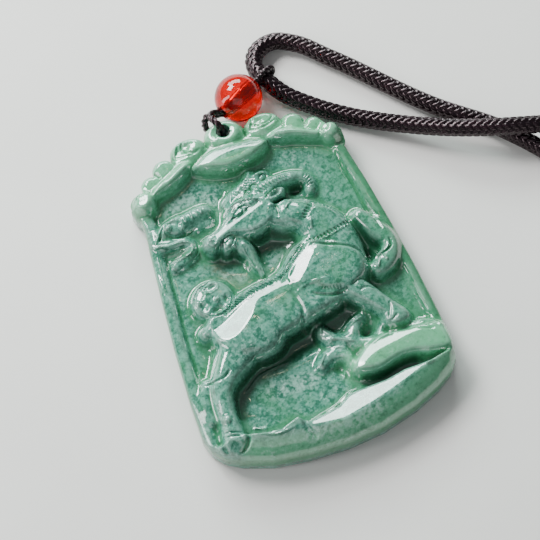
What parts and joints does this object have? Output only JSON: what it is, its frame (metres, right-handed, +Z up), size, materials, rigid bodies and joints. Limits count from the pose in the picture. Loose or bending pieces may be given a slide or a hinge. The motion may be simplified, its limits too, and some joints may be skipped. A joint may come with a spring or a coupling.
{
  "type": "jade pendant necklace",
  "caption": "Carved jade plaque with a goat in relief under a scalloped cloud border, a round red agate bead above it, on a braided neck cord closed by a plain barrel clasp.",
  "frame": {"origin": "middle of the plaque's flat back", "axes": "+Z up out of the carved face, +Y towards the ring at the top of the plaque, +X to the right when the face is looked at"},
  "size_m": [0.15, 0.0727, 0.0085],
  "materials": {
    "jade": "polished jadeite",
    "agate": "polished translucent agate",
    "thread": "waxed twisted thread",
    "cord": "round silk braid",
    "clasp": "satin"
  },
  "bodies": {
    "root": {"jade_plaque": "jade", "agate_bead": "agate", "bail_thread": "thread", "neck_cord": "cord", "cord_clasp": "clasp"}
  },
  "joints": []
}
